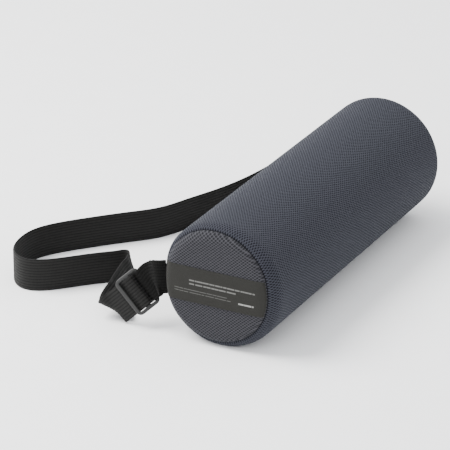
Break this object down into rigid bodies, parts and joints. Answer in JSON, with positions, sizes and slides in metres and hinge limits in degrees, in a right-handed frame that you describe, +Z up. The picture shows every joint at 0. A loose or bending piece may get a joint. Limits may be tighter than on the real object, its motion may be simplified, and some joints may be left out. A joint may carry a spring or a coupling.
{
  "type": "lumbar support cushion",
  "caption": "Firm foam roll in a zipped mesh cover, with an elastic webbing strap and tri-glide buckle that hold it to a backrest.",
  "frame": {"origin": "centre of the narrow flat that the roll rests on", "axes": "+Z up; X along the roll, labelled end at -X; +Y towards the strap, the side that faces the backrest"},
  "size_m": [0.2918, 0.238, 0.0915],
  "materials": {
    "foam": "open-cell soft foam",
    "cover_mesh": "slate-navy spacer mesh with a fine diamond knit",
    "end_mesh": "the same mesh, its grid turned",
    "thread": "polyester sewing thread",
    "label_ribbon": "matt woven ribbon with plain pale rules, no words",
    "zip_tape": "woven zip tape",
    "zip_teeth": "nylon coil",
    "zip_metal": "black enamelled zinc",
    "webbing": "ribbed elastic webbing",
    "buckle_plastic": "satin moulded acetal"
  },
  "bodies": {
    "roll": {"foam_core": "foam", "cover_sleeve": "cover_mesh", "front_end_panel": "end_mesh", "rear_end_panel": "end_mesh", "front_seam_thread": "thread", "rear_seam_thread": "thread", "end_label": "label_ribbon", "zip_tape_upper": "zip_tape", "zip_tape_lower": "zip_tape", "zip_teeth_upper": "zip_teeth", "zip_teeth_lower": "zip_teeth", "zip_top_stop_upper": "zip_metal", "zip_top_stop_lower": "zip_metal", "zip_bottom_stop": "zip_metal", "zip_stitch_row_upper": "thread", "zip_stitch_row_lower": "thread"},
    "zip_slider": {"zip_slider_body": "zip_metal"},
    "zip_pull": {"zip_pull_tab": "zip_metal"},
    "strap": {"strap_rear_bend": "webbing", "strap_webbing": "webbing", "strap_tab": "webbing"},
    "buckle": {"tri_glide_buckle": "buckle_plastic", "strap_adjuster_turn": "webbing"}
  },
  "joints": [
    {"name": "strap_swing", "type": "hinge", "parent": "roll", "child": "strap", "pos_m": [0, 0.044, 0.0455], "axis": [1, 0, 0], "range_deg": [0, 90], "deforming": ["strap_tab", "strap_rear_bend"]},
    {"name": "buckle_tilt", "type": "hinge", "parent": "strap", "child": "buckle", "pos_m": [-0.12781, 0.06231, 0.03082], "axis": [0, 0.695, 0.719], "range_deg": [-12, 12], "deforming": ["strap_adjuster_turn"]},
    {"name": "zip_travel", "type": "slide", "parent": "roll", "child": "zip_slider", "axis": [1, 0, 0], "range_m": [0, 0.186]},
    {"name": "zip_pull_flip", "type": "hinge", "parent": "zip_slider", "child": "zip_pull", "pos_m": [-0.0935, 0.04762, 0.05826], "axis": [0, -0.2588, 0.9659], "range_deg": [0, 170]}
  ]
}
